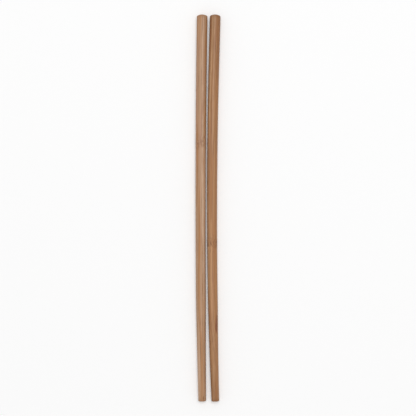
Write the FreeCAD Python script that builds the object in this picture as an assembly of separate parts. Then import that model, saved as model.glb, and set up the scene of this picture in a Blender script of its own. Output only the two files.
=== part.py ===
import FreeCAD, Part
import math
import os

from FreeCAD import Vector

# A pair of round bamboo chopsticks, lying side by side on a table.
# Millimetres. +Z is up, +Y runs from the tips to the heads, and the origin is on the table,
# under the middle of the pair.
# Each stick is one piece of bamboo, turned to a double taper: a straight head that the hand
# holds, a long shaft that narrows slowly, and an eating end that narrows faster. Both end faces
# are low domes with a softened rim. The sticks dried with a slight bow, each its own.

# Driving dimensions of a stick
stick_length = 240.0
head_diameter = 6.6
shaft_diameter = 6.1
tip_diameter = 4.8
head_length = 25.0
eating_length = 58.0
taper_blend = 24.0

# End faces
head_dome_height = 1.0
head_rim_radius = 0.8
tip_dome_height = 0.2
tip_rim_radius = 0.4
tip_land = 1.5

# How far the middle of each stick stands off its straight line, towards the left
left_bow = 0.8
right_bow = 1.6

# The pair lies heads together, and this is the gap where the two come closest
narrowest_gap = 0.8

# The body is ruled between this many round sections, so few that its surface stays light and so
# many that the line bends by about a quarter of a degree at each, which can't be seen or felt
section_count = 17

# Lengths and slopes that follow
head_radius = head_diameter / 2
shaft_radius = shaft_diameter / 2
tip_radius = tip_diameter / 2
body_length = stick_length - head_dome_height - head_length - tip_land - tip_dome_height
shaft_length = body_length - eating_length
shaft_slope = (head_radius - shaft_radius) / shaft_length
eating_slope = (shaft_radius - tip_radius) / eating_length

along = Vector(0, 1, 0)
up = Vector(0, 0, 1)
across = Vector(1, 0, 0)
origin = Vector(0, 0, 0)


def body_radius(distance):
    """Radius of the body at a distance from the head's foot: two even tapers, eased into each other."""
    past_shaft = distance - shaft_length
    if past_shaft <= -taper_blend / 2:
        return head_radius - shaft_slope * distance
    if past_shaft >= taper_blend / 2:
        return shaft_radius - eating_slope * past_shaft
    into_blend = past_shaft + taper_blend / 2
    added_slope = (eating_slope - shaft_slope) * into_blend / taper_blend
    return head_radius - shaft_slope * distance - added_slope * into_blend / 2


def bow_offset(distance, bow):
    """Sideways offset of the centre line, a parabola that leaves the head in its own direction."""
    return 4 * bow * (distance / body_length) ** 2


def bow_angle(distance, bow):
    """Direction of the centre line there, in degrees from the head's own direction."""
    return math.degrees(math.atan(8 * bow * distance / body_length ** 2))


def rounded_end(radius, wall, dome_height, rim_radius):
    """A straight round end along +Y, turned in one pass: wall, softened rim and low dome."""
    ball_radius = (radius ** 2 + dome_height ** 2) / (2 * dome_height)
    ball_centre = Vector(0, wall + dome_height - ball_radius, 0)
    # The rim's arc touches both the wall and the dome, so its centre is set in from each of them
    rim_inset = radius - rim_radius
    rim_rise = math.sqrt((ball_radius - rim_radius) ** 2 - rim_inset ** 2)
    rim_centre = ball_centre + Vector(rim_inset, rim_rise, 0)
    rim_turn = math.atan2(rim_rise, rim_inset)
    foot = Vector(radius, 0, 0)
    wall_end = Vector(radius, rim_centre.y, 0)
    crown = Vector(0, wall + dome_height, 0)
    outline = Part.Wire([
        Part.makeLine(origin, foot),
        Part.makeLine(foot, wall_end),
        Part.Arc(Part.Circle(rim_centre, up, rim_radius), 0, rim_turn).toShape(),
        Part.Arc(Part.Circle(ball_centre, up, ball_radius), rim_turn, math.pi / 2).toShape(),
        Part.makeLine(crown, origin),
    ])
    return Part.Face(outline).revolve(origin, along, 360)


def body_section(distance, bow):
    """The body's round section, square to the bowed centre line."""
    circle = Part.makeCircle(body_radius(distance), origin, along)
    circle.rotate(origin, up, bow_angle(distance, bow))
    circle.translate(Vector(bow_offset(distance, bow), -distance, 0))
    return Part.Wire([circle])


def bowed_stick(bow):
    """One stick with its head along +Y and the head's foot at the origin."""
    head = rounded_end(head_radius, head_length, head_dome_height, head_rim_radius)
    steps = [body_length * i / (section_count - 1) for i in range(section_count)]
    body = Part.makeLoft([body_section(distance, bow) for distance in steps], True, True)
    tip = rounded_end(tip_radius, tip_land, tip_dome_height, tip_rim_radius)
    tip.rotate(origin, up, 180 + bow_angle(body_length, bow))
    tip.translate(Vector(bow_offset(body_length, bow), -body_length, 0))
    return head.fuse([body, tip])


def resting(bow):
    """Where a stick lies: its line from end to end along Y, its shaft's underside on the table."""
    settle = FreeCAD.Rotation(across, math.degrees(math.atan(shaft_slope)))
    end_to_end = head_length + head_dome_height + body_length
    turn = FreeCAD.Rotation(up, -math.degrees(math.atan(bow_offset(body_length, bow) / end_to_end)))
    lift = head_radius * math.cos(math.atan(shaft_slope))
    return FreeCAD.Placement(Vector(0, 0, lift), turn.multiply(settle))


left = bowed_stick(left_bow)
left.Placement = resting(left_bow)
right = bowed_stick(right_bow)
right.Placement = resting(right_bow)

# The right stick starts well clear, then slides up to the left one until the gap is left
right.translate(across * (3 * head_diameter))
right.translate(across * (narrowest_gap - left.distToShape(right)[0]))

# The pair is centred over the origin
box = Part.makeCompound([left, right]).optimalBoundingBox(False)
to_centre = Vector(-box.Center.x, -box.Center.y, 0)
left.translate(to_centre)
right.translate(to_centre)

sticks = {"left_chopstick": left, "right_chopstick": right}
os.makedirs("parts", exist_ok=True)
for name, stick in sticks.items():
    stick.exportStep(f"parts/{name}.step")
    head_middle = stick.Placement.multVec(along * (head_length / 2))
    head_axis = stick.Placement.Rotation.multVec(along)
    print(name, f"volume {stick.Volume:.0f} mm3, one solid: {len(stick.Solids) == 1}")
    print("  middle of the head in metres", [round(value / 1000, 6) for value in head_middle])
    print("  direction of the head", [round(value, 6) for value in head_axis])
print(f"narrowest gap {left.distToShape(right)[0]:.3f} mm")
print(f"pair {box.XLength:.2f} x {box.YLength:.2f} x {box.ZLength:.2f} mm, lowest point {box.ZMin:.4f}")
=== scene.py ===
# %% [markdown]
# # A pair of bamboo chopsticks
# Each chopstick is one piece of steamed bamboo, turned round, tapered twice and closed by a low
# dome at both ends. There is no lacquer on it, so everything that it shows is the bamboo itself:
# long brown fibres in a paler ground, one joint of the plant, and end grain on the domes.
# The sticks are made here as straight blanks, and bent and laid down only when they are finished,
# as the real ones warped only after they were turned.

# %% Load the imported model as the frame
import math

import bmesh
import bpy
from mathutils import Matrix, Vector, noise


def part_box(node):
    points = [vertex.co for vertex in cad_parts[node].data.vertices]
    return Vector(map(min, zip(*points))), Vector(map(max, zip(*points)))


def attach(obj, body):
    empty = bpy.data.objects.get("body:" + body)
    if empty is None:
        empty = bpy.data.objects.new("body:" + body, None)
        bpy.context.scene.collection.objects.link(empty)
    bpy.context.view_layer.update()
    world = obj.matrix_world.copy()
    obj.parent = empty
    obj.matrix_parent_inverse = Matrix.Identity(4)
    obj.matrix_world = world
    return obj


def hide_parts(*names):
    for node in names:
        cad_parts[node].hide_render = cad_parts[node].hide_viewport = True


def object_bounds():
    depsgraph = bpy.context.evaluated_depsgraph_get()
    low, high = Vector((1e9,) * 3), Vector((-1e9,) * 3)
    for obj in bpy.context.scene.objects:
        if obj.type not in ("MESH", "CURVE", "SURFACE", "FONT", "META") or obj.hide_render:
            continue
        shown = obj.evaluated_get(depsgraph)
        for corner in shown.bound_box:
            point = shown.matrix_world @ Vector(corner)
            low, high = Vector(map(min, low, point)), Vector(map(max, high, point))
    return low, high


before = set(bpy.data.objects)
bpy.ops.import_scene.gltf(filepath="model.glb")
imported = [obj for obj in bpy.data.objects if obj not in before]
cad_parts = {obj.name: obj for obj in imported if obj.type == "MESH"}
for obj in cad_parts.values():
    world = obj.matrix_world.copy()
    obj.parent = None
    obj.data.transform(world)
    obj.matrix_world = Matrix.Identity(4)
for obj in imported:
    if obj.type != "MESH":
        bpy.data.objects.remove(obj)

cad_low, cad_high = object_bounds()
print("frame holds", sorted(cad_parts), "and measures", [round(v, 4) for v in cad_high - cad_low])

# %% [markdown]
# The sizes are the real ones, in metres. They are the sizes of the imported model, so the finished
# pieces fill the same space.

# %% Sizes of a stick
MM = 0.001
STICK_LENGTH = 240.0 * MM
HEAD_RADIUS = 3.3 * MM
SHAFT_RADIUS = 3.05 * MM
TIP_RADIUS = 2.4 * MM
HEAD_LENGTH = 25.0 * MM
EATING_LENGTH = 58.0 * MM
TAPER_BLEND = 24.0 * MM
HEAD_DOME, HEAD_RIM = 1.0 * MM, 0.8 * MM
TIP_DOME, TIP_RIM, TIP_LAND = 0.2 * MM, 0.4 * MM, 1.5 * MM

HEAD_END = HEAD_LENGTH + HEAD_DOME
BODY_LENGTH = STICK_LENGTH - HEAD_DOME - HEAD_LENGTH - TIP_LAND - TIP_DOME
SHAFT_LENGTH = BODY_LENGTH - EATING_LENGTH
SHAFT_SLOPE = (HEAD_RADIUS - SHAFT_RADIUS) / SHAFT_LENGTH
EATING_SLOPE = (SHAFT_RADIUS - TIP_RADIUS) / EATING_LENGTH
print("the body between head and tip is", round(BODY_LENGTH / MM, 1), "mm long")


# %% [markdown]
# ## The turned blank
# A lathe makes a form from half of its outline, and so does the spin operator. The outline starts
# as one point on the crown of the head. Spinning that point about the centre of the dome draws the
# dome's arc, spinning its end about the centre of the rim draws the soft rim, and extruding goes
# down the wall. Points typed by hand would make the same outline, but the two spins keep the arcs
# true for any size.

# %% Radius of the body
def body_radius(distance):
    """Radius at a distance from the head's foot: two even tapers, eased into each other."""
    past_shaft = distance - SHAFT_LENGTH
    if past_shaft <= -TAPER_BLEND / 2:
        return HEAD_RADIUS - SHAFT_SLOPE * distance
    if past_shaft >= TAPER_BLEND / 2:
        return SHAFT_RADIUS - EATING_SLOPE * past_shaft
    into_blend = past_shaft + TAPER_BLEND / 2
    added_slope = (EATING_SLOPE - SHAFT_SLOPE) * into_blend / TAPER_BLEND
    return HEAD_RADIUS - SHAFT_SLOPE * distance - added_slope * into_blend / 2


print("radius at the middle of the body", round(body_radius(BODY_LENGTH / 2) / MM, 3), "mm")


# %% Arcs and walls of the outline
def swing(bm, point, centre, angle, steps):
    """Draws an arc from a point about a centre, and returns the arc's far end."""
    made = bmesh.ops.spin(bm, geom=[point], cent=centre, axis=(0, 0, 1), angle=angle, steps=steps)
    return next(part for part in made["geom_last"] if isinstance(part, bmesh.types.BMVert))


def run(bm, point, target, steps):
    """Draws a straight line from a point in even steps, and returns its far end."""
    stride = (Vector(target) - point.co) / steps
    for _ in range(steps):
        place = point.co + stride
        point = bmesh.ops.extrude_vert_indiv(bm, verts=[point])["verts"][0]
        point.co = place
    return point


def end_arcs(radius, wall, dome, rim):
    """Centres and turn of a round end's two arcs, for an end that stands along +Y."""
    ball = (radius ** 2 + dome ** 2) / (2 * dome)
    rim_inset = radius - rim
    rim_rise = math.sqrt((ball - rim) ** 2 - rim_inset ** 2)
    ball_centre = Vector((0, wall + dome - ball, 0))
    rim_centre = ball_centre + Vector((rim_inset, rim_rise, 0))
    return ball_centre, rim_centre, math.atan2(rim_rise, rim_inset)


head_ball = end_arcs(HEAD_RADIUS, HEAD_LENGTH, HEAD_DOME, HEAD_RIM)[0]
print("the head's dome is part of a ball of radius", round((HEAD_END - head_ball.y) / MM, 2), "mm")

# %% Outline of the whole blank
DOME_STEPS, RIM_STEPS = 16, 6
BODY_STEPS, HEAD_STEPS, TIP_STEPS = 430, 48, 3


def draw_outline(bm):
    """Half of the blank's outline, from the head's crown to the tip's crown."""
    ball, rim, turn = end_arcs(HEAD_RADIUS, HEAD_LENGTH, HEAD_DOME, HEAD_RIM)
    crown = bm.verts.new((0, HEAD_END, 0))
    dome_end = swing(bm, crown, ball, turn - math.pi / 2, DOME_STEPS)
    wall_top = swing(bm, dome_end, rim, -turn, RIM_STEPS)
    head_foot = run(bm, wall_top, (HEAD_RADIUS, 0, 0), HEAD_STEPS)
    body_foot = run(bm, head_foot, (TIP_RADIUS, -BODY_LENGTH, 0), BODY_STEPS)
    ball, rim, turn = end_arcs(TIP_RADIUS, TIP_LAND, TIP_DOME, TIP_RIM)
    ball.y, rim.y = -BODY_LENGTH - ball.y, -BODY_LENGTH - rim.y
    wall_end = run(bm, body_foot, (TIP_RADIUS, rim.y, 0), TIP_STEPS)
    dome_start = swing(bm, wall_end, rim, -turn, RIM_STEPS)
    swing(bm, dome_start, ball, turn - math.pi / 2, DOME_STEPS)
    for point in bm.verts:
        if -BODY_LENGTH < point.co.y < 0:
            point.co.x = body_radius(-point.co.y)


print("the outline has a point every", round(BODY_LENGTH / MM / BODY_STEPS, 2), "mm down the body")

# %% Turn the blank
AROUND = 128
SAME_PLACE = 0.0001 * MM


def turned_blank():
    """The straight stick, turned on the Y axis with its head's foot at the origin."""
    bm = bmesh.new()
    draw_outline(bm)
    bmesh.ops.spin(bm, geom=bm.verts[:] + bm.edges[:], cent=(0, 0, 0), axis=(0, 1, 0),
                   angle=math.tau, steps=AROUND, use_merge=True)
    bmesh.ops.remove_doubles(bm, verts=bm.verts, dist=SAME_PLACE)
    bmesh.ops.recalc_face_normals(bm, faces=bm.faces)
    return bm


trial = turned_blank()
print("a blank has", len(trial.verts), "points,", len(trial.faces), "faces and encloses",
      round(trial.calc_volume() / MM ** 3), "cubic millimetres")
trial.free()


# %% [markdown]
# ## What makes each stick its own
# Both sticks come from the same lathe, but not from the same place in the stem. A bamboo stem has
# a ring every few hands, where the fibres tangle: `ring` says how far down the stick it falls, as a
# share of the length. `skin` says which side of the stick lay nearest the green skin of the stem, in
# degrees up from the stick's right side. `bow` is how far the stick warped, and `seed` picks its
# own stretch of every pattern.

# %% The two sticks
STICKS = {
    "left_chopstick": {"slot": "bamboo_pale", "bow": 0.8 * MM, "ring": 0.33, "skin": -25, "seed": 3},
    "right_chopstick": {"slot": "bamboo_warm", "bow": 1.6 * MM, "ring": 0.59, "skin": 20, "seed": 11},
}


def ring_place(stick):
    """Distance of a stick's ring from the head's end, in millimetres."""
    return stick["ring"] * STICK_LENGTH / MM


for name, stick in STICKS.items():
    print(name, "has its stem ring", round(ring_place(stick)), "mm from the head's end")


# %% [markdown]
# ## What sanding leaves
# The real stick is not as true as its outline. Sanding leaves broad flats, digs a little more from
# the soft ground than from the hard fibres, and leaves the tangled ring slightly proud with a fine
# furrow in it. A bump map would shade this but leave the outline and the mesh perfectly smooth, so
# the relief is in the points themselves. It rises and dips by hundredths of a millimetre about the
# turned form, so the stick keeps its size. From here on a point is also known by its place in the
# straight blank, in millimetres: x to the right, y down from the head's end, z up. These are the
# grain coordinates, and noise that is drawn out along their y runs with the fibres.

# %% The ring's own line
RING_SWAY, SWAY_ACROSS, SWAY_ALONG = 2.4, 0.22, 0.05


def ripple(spot, across, along, seed):
    """Smooth noise about 0 that is drawn out along the fibres; scales are per millimetre."""
    return noise.noise(Vector((spot.x * across + seed, spot.y * along, spot.z * across)))


def off_ring(grain, stick):
    """How far along the stick a point lies from the ring, whose line sways on its way round."""
    sway = RING_SWAY * ripple(grain, SWAY_ACROSS, SWAY_ALONG, stick["seed"])
    return grain.y - ring_place(stick) + sway


for name, stick in STICKS.items():
    top = Vector((0, ring_place(stick), HEAD_RADIUS / MM))
    print("on top the ring of", name, "has swayed by", round(off_ring(top, stick), 2), "mm")

# %% Relief of the sanded skin
# Height in millimetres, and swells to a millimetre across the fibres and along them
FLATS = (0.030, 0.16, 0.022)
RIDGES = (0.012, 1.9, 0.02)
LINES = (0.007, 4.2, 0.045)
RING_PROUD, RING_WIDTH = 0.05, 2.6
FURROW_DEPTH, FURROW_WIDTH = 0.05, 0.4
# Noise leaves about this share of the furrow's depth, more in one place and less in another
FURROW_SHARE, FURROW_ACROSS, FURROW_ALONG, FURROW_SEED = 0.6, 0.5, 0.1, 5


def relief(grain, stick):
    """Height over the turned form in millimetres, at a point that is given in grain coordinates."""
    seed = stick["seed"]
    sanded = sum(height * ripple(grain, across, along, seed)
                 for height, across, along in (FLATS, RIDGES, LINES))
    from_ring = off_ring(grain, stick)
    proud = RING_PROUD * math.exp(-(from_ring / RING_WIDTH) ** 2)
    furrow = FURROW_DEPTH * math.exp(-(from_ring / FURROW_WIDTH) ** 2)
    broken = FURROW_SHARE + ripple(grain, FURROW_ACROSS, FURROW_ALONG, seed + FURROW_SEED)
    return sanded + proud - furrow * broken


left = STICKS["left_chopstick"]
beside_furrow = Vector((0, ring_place(left) + RING_WIDTH / 2, HEAD_RADIUS / MM))
print("beside its furrow the left ring stands", round(relief(beside_furrow, left), 3), "mm proud")


# %% [markdown]
# ## Bending and laying down
# The warp moves each slice of the blank along the bow and turns it square to it. Then the stick is
# laid down: tipped by the half angle of its slow taper, so that the shaft's underside is level on
# the table, and turned until its two ends are in line. An armature or a curve modifier could bend
# it too, but one short function keeps the slices exactly round.

# %% Warp and rest
def warped(spot, bow):
    """Carries a point of the blank to the bowed stick, whose line is a parabola from the head on."""
    distance = min(max(-spot.y, 0), BODY_LENGTH)
    angle = math.atan(8 * bow * distance / BODY_LENGTH ** 2)
    centre = Vector((4 * bow * (distance / BODY_LENGTH) ** 2, -distance, 0))
    in_slice = Vector((spot.x, spot.y + distance, spot.z))
    return centre + Matrix.Rotation(angle, 3, "Z") @ in_slice


def off_line(bow):
    """Angle of the head off the stick's line from end to end."""
    return math.atan(4 * bow / (HEAD_END + BODY_LENGTH))


def resting(bow):
    """Turns and lifts the bowed stick to where it lies."""
    settle = Matrix.Rotation(math.atan(SHAFT_SLOPE), 4, "X")
    turn = Matrix.Rotation(-off_line(bow), 4, "Z")
    lift = Matrix.Translation((0, 0, HEAD_RADIUS * math.cos(math.atan(SHAFT_SLOPE))))
    return lift @ turn @ settle


def middle(points):
    """Middle of the box round some points, at the height of the table."""
    low = [min(p[i] for p in points) for i in range(2)]
    high = [max(p[i] for p in points) for i in range(2)]
    return Vector(((low[0] + high[0]) / 2, (low[1] + high[1]) / 2, 0))


for name, stick in STICKS.items():
    print(name, "has its head turned", round(math.degrees(off_line(stick["bow"])), 2),
          "degrees off its line from end to end")


# %% [markdown]
# ## A map for long thin things
# Blender's own unwrapping would lay a stick down as slivers as long as the picture and a few pixels
# wide. Bamboo changes fast across the fibres and slowly along them, so this map halves the stick
# and lays both halves side by side, each unrolled to nearly half the picture's width. The seam runs
# along the underside. The domes get two round patches above, where the end grain is seen from the end.

# %% Unroll the skin and flatten the domes
MAP = "OFBake"
# Places and sizes on the map are shares of its width and height
EDGE = 0.008
STRIP_WIDTH = 0.5 - 1.5 * EDGE
STRIP_TOP = 0.85
PATCH_SCALE = 0.019
PATCHES = {"head": Vector((0.08, 0.925)), "tip": Vector((0.22, 0.925))}
HALF_STICK = STICK_LENGTH / MM / 2


def map_spot(grain, middle_angle, zone):
    """Place on the map of a corner whose face lies round the stick at middle_angle."""
    if zone in PATCHES:
        return PATCHES[zone] + Vector((grain.x, grain.z)) * PATCH_SCALE
    angle = math.atan2(grain.x, -grain.z)
    angle += math.tau * round((middle_angle - angle) / math.tau)
    strip = 0 if zone == "upper" else 1
    middle_line = EDGE + STRIP_WIDTH / 2 + strip * (STRIP_WIDTH + EDGE)
    down = (grain.y - strip * HALF_STICK) / HALF_STICK
    return Vector((middle_line + STRIP_WIDTH * angle / math.tau, STRIP_TOP - (STRIP_TOP - EDGE) * down))


def zone_of(spot):
    """Which patch of the map a face belongs to, from its middle in grain coordinates."""
    if spot.y < (HEAD_DOME + HEAD_RIM / 2) / MM:
        return "head"
    if spot.y > (STICK_LENGTH - TIP_DOME - TIP_RIM / 2) / MM:
        return "tip"
    return "upper" if spot.y < HALF_STICK else "lower"


def unroll(bm, grain):
    """Writes the map of the whole stick."""
    layer = bm.loops.layers.uv.new(MAP)
    for face in bm.faces:
        corners = [grain[loop.vert.index] for loop in face.loops]
        spot = sum(corners, Vector()) / len(corners)
        zone, middle_angle = zone_of(spot), math.atan2(spot.x, -spot.z)
        for loop, corner in zip(face.loops, corners):
            loop[layer].uv = map_spot(corner, middle_angle, zone)


girth = math.tau * HEAD_RADIUS / MM
print("a picture of 1000 pixels has", round(1000 * STRIP_WIDTH / girth, 1), "to a millimetre across and",
      round(1000 * (STRIP_TOP - EDGE) / HALF_STICK, 1), "along")

# %% [markdown]
# ## One finished stick
# The order matters. The grain coordinates and the distance from the ring are kept as attributes of
# the straight blank, before anything bends, so the fibres and the ring of the material later follow
# the warp as the real ones do, and the ring's dark line lies in its furrow.

# %% Make both sticks
def shape_stick(bm, name, stick):
    """Warps, lays and sands the blank, and keeps what the material needs to know of it."""
    bm.verts.index_update()
    grain = [Vector((v.co.x, HEAD_END - v.co.y, v.co.z)) / MM for v in bm.verts]
    kept_grain = bm.verts.layers.float_vector.new("grain")
    kept_ring = bm.verts.layers.float.new("off_ring")
    unroll(bm, grain)
    rest = resting(stick["bow"])
    for vert, spot in zip(bm.verts, grain):
        vert[kept_grain] = spot
        vert[kept_ring] = off_ring(spot, stick)
        vert.co = rest @ warped(vert.co, stick["bow"])
    low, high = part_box(name)
    shift = middle([low, high]) - middle([v.co for v in bm.verts])
    bmesh.ops.translate(bm, verts=bm.verts, vec=shift)
    bm.normal_update()
    for vert, spot in zip(bm.verts, grain):
        vert.co += vert.normal * relief(spot, stick) * MM
    for face in bm.faces:
        face.smooth = True


def make_stick(name, stick):
    """Makes one stick from a blank and gives it its place in the frame."""
    bm = turned_blank()
    shape_stick(bm, name, stick)
    mesh = bpy.data.meshes.new(name)
    bm.to_mesh(mesh)
    bm.free()
    piece = bpy.data.objects.new("turned_" + name, mesh)
    bpy.context.collection.objects.link(piece)
    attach(piece, "root")
    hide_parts(name)
    return piece


pieces = {name: make_stick(name, stick) for name, stick in STICKS.items()}
for name, piece in pieces.items():
    low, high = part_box(name)
    sizes = [max(v.co[i] for v in piece.data.vertices) - min(v.co[i] for v in piece.data.vertices)
             for i in range(3)]
    print(name, "measures", [round(s / MM, 2) for s in sizes], "mm, the packed one",
          [round(s / MM, 2) for s in high - low])


# %% [markdown]
# ## Bamboo as a material
# Bamboo is a bundle of stiff brown fibres in a soft pale ground. Seen from the end the fibres are
# dots, and along the stick they are lines, because the cut runs along them. One pattern of dots in
# the stick's cross-section gives both at once when it is carried straight down the grain
# coordinates: the taper then cuts through the fibres, and they start and stop as on the real stick.

# %% Small helpers for node trees
def put(tree, kind, inputs=None, **settings):
    """Adds a shader node, sets it up, and links or fills its sockets."""
    node = tree.nodes.new("ShaderNode" + kind)
    for key, value in settings.items():
        setattr(node, key, value)
    for key, value in (inputs or {}).items():
        if isinstance(value, bpy.types.NodeSocket):
            tree.links.new(value, node.inputs[key])
        else:
            node.inputs[key].default_value = value
    return node


def sums(tree, operation, *values):
    """One step of arithmetic."""
    return put(tree, "Math", dict(enumerate(values)), operation=operation).outputs[0]


def times(tree, first, second):
    """One value times another."""
    return sums(tree, "MULTIPLY", first, second)


def moved(tree, operation, first, second):
    """One step of arithmetic on coordinates."""
    return put(tree, "VectorMath", {0: first, 1: second}, operation=operation).outputs[0]


def length(tree, vector):
    """How far a place is from nought."""
    return put(tree, "VectorMath", {0: vector}, operation="LENGTH").outputs["Value"]


def ramp(tree, value, low, high, start=0.0, end=1.0):
    """Carries a value from one range to another with soft ends."""
    return put(tree, "MapRange", {"Value": value, "From Min": low, "From Max": high,
                                  "To Min": start, "To Max": end},
               interpolation_type="SMOOTHSTEP").outputs["Result"]


# %% Noise that runs with the fibres
def drawn_out(tree, vector, across, along, detail, rough=0.55):
    """Noise of a pattern: swells to a millimetre across the fibres and along them, and detail."""
    scaled = moved(tree, "MULTIPLY", vector, (across, along, across))
    return put(tree, "TexNoise", {"Vector": scaled, "Scale": 1.0, "Detail": detail,
                                  "Roughness": rough}).outputs


def cloudy(tree, vector, pattern):
    """A pattern's noise as one value from 0 to 1."""
    return drawn_out(tree, vector, *pattern)["Fac"]


def push(tree, vector, pattern, reach):
    """A pattern's noise as a push, by up to half of reach to either side."""
    centred = moved(tree, "SUBTRACT", drawn_out(tree, vector, *pattern)["Color"], (0.5, 0.5, 0.5))
    return moved(tree, "MULTIPLY", centred, reach)


# %% Colours
def paint(red, green, blue):
    """A colour as seen on a screen, from 0 to 255, as the renderer's own numbers."""
    linear = [(c / 255 / 12.92) if c <= 10 else ((c / 255 + 0.055) / 1.055) ** 2.4
              for c in (red, green, blue)]
    return (*linear, 1.0)


def tint(tree, amount, base, colour, blend="MIX"):
    """Lays a colour over a base by an amount."""
    made = put(tree, "Mix", {"Factor": amount, 6: base, 7: colour}, data_type="RGBA", blend_type=blend)
    return made.outputs[2]


print("a tan of 180, 140, 105 is", [round(c, 3) for c in paint(180, 140, 105)])


# %% [markdown]
# The fibres are not straight as a ruler. They wander a few tenths of a millimetre over some
# centimetres, and at the stem ring they tangle. So the coordinates are pushed sideways by slow
# noise first, and much more so near the ring.

# %% Path of the fibres
OWN_STRETCH = 500.0
WANDER, WANDER_WIDTH = (0.06, 0.016, 1.0), 1.3
TANGLE, TANGLE_WIDTH, TANGLE_REACH = (0.5, 0.22, 2.0), 2.4, 7.0


def own_stretch(tree, grain, seed):
    """The grain coordinates moved far along, so that no two sticks share a pattern."""
    return moved(tree, "ADD", grain, (0, seed * OWN_STRETCH, 0))


def near_ring(tree, reach):
    """1 on the stem ring's line, falling to 0 at a reach from it in millimetres."""
    off = put(tree, "Attribute", attribute_name="off_ring").outputs["Fac"]
    return ramp(tree, sums(tree, "ABSOLUTE", off), reach, 0.0)


def fibre_path(tree, own):
    """The coordinates that the fibres follow."""
    slow = push(tree, own, WANDER, (WANDER_WIDTH, 0.0, WANDER_WIDTH))
    tangled = push(tree, own, TANGLE, times(tree, near_ring(tree, TANGLE_REACH), TANGLE_WIDTH))
    return moved(tree, "ADD", moved(tree, "ADD", own, slow), tangled)


print("the fibres wander by up to", WANDER_WIDTH / 2, "mm, and on the ring by up to",
      (WANDER_WIDTH + TANGLE_WIDTH) / 2, "mm")


# %% [markdown]
# In the stem the bundles are fine and close under the skin, and coarse and far apart by the
# hollow. Bending the cross-section's scale before the cells are drawn does that: one unit holds
# more cells on one side than on the other. Each bundle is a dark spot in its cell, fades in and out
# along the stick, and holds pores that the sanding opened, which are thinner and darker still.

# %% Where a point lies in the stem
CROWDING, FANNING = 0.09, 0.11
SEED_STEP = (7.3, 3.1)


def skin_side(tree, path, skin):
    """How far a point lies towards the skin side, and how far across, in millimetres."""
    turned = put(tree, "Mapping", {"Vector": path, "Rotation": (0, math.radians(skin), 0)}).outputs[0]
    parts = put(tree, "SeparateXYZ", {"Vector": turned}).outputs
    return parts["X"], parts["Z"]


def crowded(tree, to_skin, aside, seed):
    """The flat coordinates of the cross-section, drawn closer towards the skin."""
    squeezed = sums(tree, "MULTIPLY_ADD", times(tree, to_skin, to_skin), CROWDING, to_skin)
    fanned = times(tree, aside, sums(tree, "MULTIPLY_ADD", to_skin, FANNING, 1.0))
    flat = put(tree, "CombineXYZ", {"X": squeezed, "Y": fanned, "Z": 0.0}).outputs[0]
    return moved(tree, "ADD", flat, (seed * SEED_STEP[0], seed * SEED_STEP[1], 0))


squeeze = 2 * CROWDING * HEAD_RADIUS / MM
print("bundles lie", round((1 + squeeze) / (1 - squeeze), 1), "times as close at the skin as opposite it")

# %% Fibre bundles and pores
BUNDLE_SPACING, BUNDLE_SCATTER = 0.62, 0.8
BUNDLE_EDGE, BUNDLE_HEART = 0.36, 0.20
FAINTEST_BUNDLE = 0.40
FADING, FADE_LEVELS, FADED = (1.1, 0.030, 1.0), (0.30, 0.52), 0.30
PORES, PORE_LEVELS = (5.2, 0.06, 1.0), (0.51, 0.62)


def bundles(tree, path, section):
    """How much of a bundle there is at a point, and how much of a pore."""
    cells = put(tree, "TexVoronoi", {"Vector": section, "Scale": 1 / BUNDLE_SPACING,
                                     "Randomness": BUNDLE_SCATTER},
                voronoi_dimensions="2D", feature="F1").outputs
    body = ramp(tree, cells["Distance"], BUNDLE_EDGE, BUNDLE_HEART)
    chance = put(tree, "SeparateColor", {"Color": cells["Color"]}).outputs["Red"]
    fading = ramp(tree, cloudy(tree, path, FADING), *FADE_LEVELS, FADED, 1.0)
    strength = times(tree, sums(tree, "MULTIPLY_ADD", chance, 1 - FAINTEST_BUNDLE, FAINTEST_BUNDLE), fading)
    pores = ramp(tree, cloudy(tree, path, PORES), *PORE_LEVELS)
    return times(tree, body, strength), times(tree, body, pores)


print("a head's section holds about", round(math.pi * (HEAD_RADIUS / MM / BUNDLE_SPACING) ** 2), "bundles")


# %% [markdown]
# The finish is put together the way the eye takes it in: first the broad stripes of the ground and
# its light and dark patches, with painted shade that browns the right stick towards both ends, then
# the fibres and their pores, then the ring and the burnt marks, then the darker ends where end grain
# soaked up colour. The same patterns drive the roughness and a very fine bump. Where noise decides
# between two looks, a pair of levels says from where to where it does.

# %% Ground of the bamboo
STRIPES, PALE_LEVELS, HONEY_LEVELS = (0.62, 0.009, 2.0), (0.53, 0.66), (0.48, 0.35)
BLOOM, BLOOM_LEVELS, BLOOM_STRENGTH = (0.30, 0.020, 2.0), (0.48, 0.66), 0.8
SKIN_REACH, SKIN_STRENGTH = (0.8, 3.0), 0.85


def striped_ground(tree, own, path, to_skin, tones):
    """The soft ground between the fibres: broad stripes that wander from pale to honey."""
    stripes = cloudy(tree, path, STRIPES)
    bloom = ramp(tree, cloudy(tree, own, BLOOM), *BLOOM_LEVELS)
    by_skin = ramp(tree, to_skin, *SKIN_REACH)
    colour = tint(tree, times(tree, bloom, BLOOM_STRENGTH), tones["ground"], tones["rosy"])
    colour = tint(tree, ramp(tree, stripes, *PALE_LEVELS), colour, tones["pale"])
    colour = tint(tree, ramp(tree, stripes, *HONEY_LEVELS), colour, tones["honey"])
    return tint(tree, times(tree, by_skin, SKIN_STRENGTH), colour, tones["honey"])


print("a stripe is about", round(1 / STRIPES[0], 1), "mm wide and", round(1 / STRIPES[1]), "mm long")


# %% The stem ring
# For each layer its reach to either side in millimetres, its pattern, its levels and its strength
RING_LAYERS = {
    "mottle": (6.0, (1.1, 0.50, 2.0), (0.44, 0.62), 0.46),
    "dots": (6.0, (3.4, 1.3, 0.0), (0.58, 0.68), 0.50),
    "line": (0.65, (0.45, 0.2, 1.0), (0.42, 0.60), 0.62),
}


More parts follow.
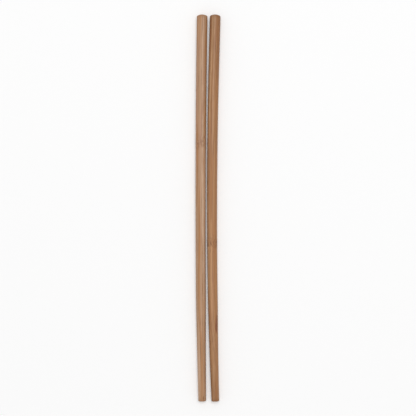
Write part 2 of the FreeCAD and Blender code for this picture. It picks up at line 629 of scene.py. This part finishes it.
def stem_ring(tree, own, colour, ring_tone):
    """A cloudy band of tangled fibres with dark dots in it, and a broken line at its middle."""
    for reach, pattern, levels, strength in RING_LAYERS.values():
        layer = times(tree, near_ring(tree, reach), ramp(tree, cloudy(tree, own, pattern), *levels))
        colour = tint(tree, times(tree, layer, strength), colour, ring_tone)
    return colour


print("the ring has", len(RING_LAYERS), "layers:", ", ".join(RING_LAYERS))

# %% Patches, painted shade and burnt marks
RAGGED, RAGGEDNESS, MARK_LEVELS = (1.6, 0.14, 2.0), 1.6, (1.8, 1.05)
# Painted shade that reaches this far across goes all the way round the stick
ALL_ROUND = 12.0


def at(share, side, up):
    """A place in grain coordinates, from its share of the length and its place in the section."""
    return (side, share * STICK_LENGTH / MM, up)


def marked(tree, grain, colour, marks):
    """Lays ragged marks and painted shade over a colour. marks are (where on the stick, reach, colour,
    strength).
    """
    for where, reach, mark_tone, strength in marks:
        shrunk = moved(tree, "DIVIDE", moved(tree, "SUBTRACT", grain, where), reach)
        ragged = sums(tree, "MULTIPLY_ADD", cloudy(tree, grain, RAGGED), RAGGEDNESS, length(tree, shrunk))
        colour = tint(tree, ramp(tree, ragged, *MARK_LEVELS, 0.0, strength), colour, mark_tone)
    return colour


print("half way down, the top of a stick is at", at(0.5, 0, round(body_radius(BODY_LENGTH / 2) / MM, 2)))

# %% Shade and end grain
FINE, FINE_CONTRAST = (6.5, 0.06, 4.0, 0.65), 0.80
DRIFT = (0.16, 0.018, 2.0)
END_AT_HEAD, END_AT_TIP = (3.2, 0.6), (STICK_LENGTH / MM - 3.0, STICK_LENGTH / MM - 0.4)


def shaded(tree, own, fine, clouding, colour):
    """Lightens and darkens a colour: slowly by clouding, and finely from fibre to fibre."""
    slow = sums(tree, "MULTIPLY_ADD", cloudy(tree, own, DRIFT), clouding, 1 - clouding / 2)
    quick = sums(tree, "MULTIPLY_ADD", fine, FINE_CONTRAST, -FINE_CONTRAST / 2)
    shade = sums(tree, "ADD", slow, quick)
    grey = put(tree, "CombineColor", {"Red": shade, "Green": shade, "Blue": shade}).outputs[0]
    return tint(tree, 1.0, colour, grey, "MULTIPLY")


def near_ends(tree, grain):
    """1 on the two end faces and 0 along the stick."""
    along = put(tree, "SeparateXYZ", {"Vector": grain}).outputs["Y"]
    return sums(tree, "MAXIMUM", ramp(tree, along, *END_AT_HEAD), ramp(tree, along, *END_AT_TIP))


print("the finest grain lightens or darkens the colour by up to", round(100 * FINE_CONTRAST / 2), "percent")

# %% Surface: roughness and the finest relief
ROUGHNESS, GRAIN_ROUGHER, FIBRE_SMOOTHER, ENDS_ROUGHER = 0.40, 0.22, 0.08, 0.15
SHEEN_LEVEL = 0.42
FIBRE_HEIGHT, GRAIN_HEIGHT, PORE_DEPTH = 0.35, 0.7, 1.0
BUMP_STRENGTH, BUMP_DISTANCE = 0.8, 0.05 * MM


def surface(tree, shader, fine, fibre, pores, ends):
    """Hard fibres shine a little more than the ground, and the pores are sunk."""
    rough = sums(tree, "MULTIPLY_ADD", fine, GRAIN_ROUGHER, ROUGHNESS)
    rough = sums(tree, "MULTIPLY_ADD", fibre, -FIBRE_SMOOTHER, rough)
    tree.links.new(sums(tree, "MULTIPLY_ADD", ends, ENDS_ROUGHER, rough), shader.inputs["Roughness"])
    shader.inputs["Specular IOR Level"].default_value = SHEEN_LEVEL
    height = sums(tree, "MULTIPLY_ADD", fibre, FIBRE_HEIGHT, times(tree, fine, GRAIN_HEIGHT))
    height = sums(tree, "MULTIPLY_ADD", pores, -PORE_DEPTH, height)
    bump = put(tree, "Bump", {"Height": height, "Strength": BUMP_STRENGTH, "Distance": BUMP_DISTANCE})
    tree.links.new(bump.outputs["Normal"], shader.inputs["Normal"])


print("the roughness lies between", round(ROUGHNESS - FIBRE_SMOOTHER, 2), "and",
      round(ROUGHNESS + GRAIN_ROUGHER + ENDS_ROUGHER, 2))

# %% The bamboo material
FIBRE_STRENGTH, PORE_STRENGTH, END_STRENGTH = 0.62, 0.55, 0.26


def bamboo(name, stick, tones, clouding, patches_and_painted_shade, burns):
    """The finish of one stick."""
    material = bpy.data.materials.new(name)
    material.use_nodes = True
    tree = material.node_tree
    shader = tree.nodes["Principled BSDF"]
    grain = put(tree, "Attribute", attribute_name="grain").outputs["Vector"]
    own = own_stretch(tree, grain, stick["seed"])
    path = fibre_path(tree, own)
    to_skin, aside = skin_side(tree, path, stick["skin"])
    fibre, pores = bundles(tree, path, crowded(tree, to_skin, aside, stick["seed"]))
    fine = cloudy(tree, path, FINE)
    ends = near_ends(tree, grain)

    # The patches also lay painted shade that browns the right stick towards both ends
    colour = marked(tree, grain, striped_ground(tree, own, path, to_skin, tones), patches_and_painted_shade)
    colour = tint(tree, times(tree, fibre, FIBRE_STRENGTH), colour, tones["fibre"])
    colour = tint(tree, times(tree, pores, PORE_STRENGTH), colour, tones["pore"])
    colour = shaded(tree, own, fine, clouding, colour)
    colour = stem_ring(tree, own, colour, tones["ring"])
    colour = marked(tree, grain, colour, burns)
    colour = tint(tree, times(tree, ends, END_STRENGTH), colour, tones["ring"])
    tree.links.new(colour, shader.inputs["Base Color"])
    surface(tree, shader, fine, fibre, pores, ends)
    return material


# %% [markdown]
# The left stick is the paler and pinker one, with a long light streak and a small burnt speck by its
# tip. The right one has the warmer tan, painted shade that browns it towards both ends, a fainter
# streak, and a dark scorch near the start of its eating end. The colours are what the eye sees on the
# screen, so each can be compared with the real thing and changed by a few steps at a time.

# %% Finish both sticks
FINISHES = {
    "left_chopstick": {
        "tones": {"ground": paint(176, 137, 104), "pale": paint(193, 158, 129),
                  "rosy": paint(174, 130, 102), "honey": paint(166, 116, 71),
                  "fibre": paint(140, 97, 63), "pore": paint(104, 65, 39), "ring": paint(134, 92, 64)},
        "clouding": 0.18,
        "patches_and_painted_shade": [(at(0.420, 1.2, 2.8), (0.8, 84.0, 1.6), paint(208, 177, 148), 0.80)],
        "burns": [(at(0.990, 0.7, 2.2), (0.5, 1.6, 1.6), paint(124, 76, 38), 0.8)]},
    "right_chopstick": {
        "tones": {"ground": paint(174, 130, 90), "pale": paint(195, 155, 116),
                  "rosy": paint(170, 120, 83), "honey": paint(160, 110, 65),
                  "fibre": paint(130, 84, 49), "pore": paint(92, 55, 31), "ring": paint(104, 61, 35)},
        "clouding": 0.25,
        "patches_and_painted_shade": [(at(0.640, -0.6, 3.1), (0.6, 40.0, 1.4), paint(194, 150, 106), 0.6),
                    # Painted shade: the right stick browned all round towards its head, and less towards
                    # its tip
                    (at(0.0, 0.0, 0.0), (ALL_ROUND, 70.0, ALL_ROUND), paint(120, 71, 34), 0.42),
                    (at(1.0, 0.0, 0.0), (ALL_ROUND, 60.0, ALL_ROUND), paint(120, 71, 34), 0.26)],
        "burns": [(at(0.803, 2.0, 2.2), (1.3, 7.5, 1.6), paint(116, 62, 32), 0.8)]},
}

for name, piece in pieces.items():
    piece.data.materials.append(bamboo(STICKS[name]["slot"], STICKS[name], **FINISHES[name]))
    print(name, "is finished with", len(piece.active_material.node_tree.nodes), "nodes")


# %% [markdown]
# ## The table, the light and the camera
# The sticks lie on a plain white table and are seen from straight above, heads up. A white surface
# under soft light still comes out a little grey, and more light would wash out the bamboo. So the
# table glows faintly, and turns to plain white far from the sticks, but only for what looks at it
# directly: the light that the table throws back on the sticks stays that of real paper.

# %% Table
TABLE_SIZE = 3.0
TABLE_GLOW = 0.10
FADE_START, FADE_END = 0.15, 0.80
WHITE = (1, 1, 1, 1)
PAPER = {"Base Color": (0.90, 0.90, 0.90, 1), "Roughness": 0.9, "Specular IOR Level": 0.1,
         "Emission Color": WHITE}


def seen_directly(tree):
    """1 for what the camera or a reflection sees, 0 for the light that reaches the sticks."""
    path = put(tree, "LightPath").outputs
    mirrored = sums(tree, "MAXIMUM", path["Is Glossy Ray"], path["Is Transmission Ray"])
    return sums(tree, "MAXIMUM", path["Is Camera Ray"], mirrored)


def white_paper():
    """Matt white that keeps the shadow of the sticks and fades to plain white far from them."""
    material = bpy.data.materials.new("white_paper")
    material.use_nodes = True
    tree = material.node_tree
    shader = tree.nodes["Principled BSDF"]
    for socket, value in PAPER.items():
        shader.inputs[socket].default_value = value
    seen = seen_directly(tree)
    tree.links.new(times(tree, seen, TABLE_GLOW), shader.inputs["Emission Strength"])
    from_middle = length(tree, put(tree, "TexCoord").outputs["Object"])
    far_off = times(tree, seen, ramp(tree, from_middle, FADE_START, FADE_END))
    plain = put(tree, "Emission", {"Color": WHITE, "Strength": 1.0}).outputs[0]
    faded = put(tree, "MixShader", {0: far_off, 1: shader.outputs[0], 2: plain}).outputs[0]
    tree.links.new(faded, tree.nodes["Material Output"].inputs["Surface"])
    return material


def lay_table():
    """A wide flat floor, which isn't part of the object."""
    bm = bmesh.new()
    bmesh.ops.create_grid(bm, x_segments=1, y_segments=1, size=TABLE_SIZE)
    mesh = bpy.data.meshes.new("table")
    bm.to_mesh(mesh)
    bm.free()
    mesh.materials.append(white_paper())
    table = bpy.data.objects.new("table", mesh)
    bpy.context.collection.objects.link(table)
    print("the table fades to white", FADE_END, "m from the sticks")


lay_table()

# %% [markdown]
# The surroundings are white to look at and half as bright as a source of light. A wide soft lamp
# hangs almost straight above, a little towards the heads and the right. Between them they light a
# white surface to about its own colour, and leave a soft shadow where the sticks meet the table.

# %% Surroundings
AMBIENT = 0.5


def pale_surroundings():
    """White where the camera or a reflection sees it, dimmer as a source of light."""
    world = bpy.data.worlds.new("studio")
    bpy.context.scene.world = world
    world.use_nodes = True
    tree = world.node_tree
    strength = sums(tree, "MULTIPLY_ADD", seen_directly(tree), 1 - AMBIENT, AMBIENT)
    background = tree.nodes["Background"]
    background.inputs["Color"].default_value = WHITE
    tree.links.new(strength, background.inputs["Strength"])
    print("the surroundings light a white surface to", AMBIENT, "of its white")


pale_surroundings()

# %% Lamp
LAMP_PLACE = Vector((0.15, 0.50, 2.38))
LAMP_SIZE = 1.35
LAMP_LEVEL = 0.52


def soft_lamp():
    """A square lamp that adds LAMP_LEVEL to a white surface on the table."""
    data = bpy.data.lights.new("softbox", "AREA")
    data.shape = "SQUARE"
    data.size = LAMP_SIZE
    distance = LAMP_PLACE.length
    slant = LAMP_PLACE.z / distance
    data.energy = LAMP_LEVEL * (math.pi * distance) ** 2 / slant
    lamp = bpy.data.objects.new("softbox", data)
    lamp.location = LAMP_PLACE
    lamp.rotation_euler = (-LAMP_PLACE).to_track_quat("-Z", "Y").to_euler()
    bpy.context.collection.objects.link(lamp)
    print("the lamp gives", round(data.energy, 2), "watts")


soft_lamp()

# %% [markdown]
# A long lens from farther off keeps both ends as round as they are: a short one close by would look
# at the ends aslant and show their faces.

# %% Camera
LENS, SENSOR = 100.0, 36.0
FILL = 0.93


def camera_above():
    """Looks straight down, with the sticks filling most of the picture's height."""
    data = bpy.data.cameras.new("camera")
    data.lens, data.sensor_width = LENS, SENSOR
    camera = bpy.data.objects.new("camera", data)
    low, high = cad_low, cad_high
    shown = (high.y - low.y) / FILL
    camera.location = ((low.x + high.x) / 2, (low.y + high.y) / 2, high.z / 2 + shown * LENS / SENSOR)
    bpy.context.collection.objects.link(camera)
    bpy.context.scene.camera = camera
    print("the camera hangs", round(camera.location.z, 3), "m above the table")


camera_above()
bpy.context.scene.view_settings.view_transform = "Standard"
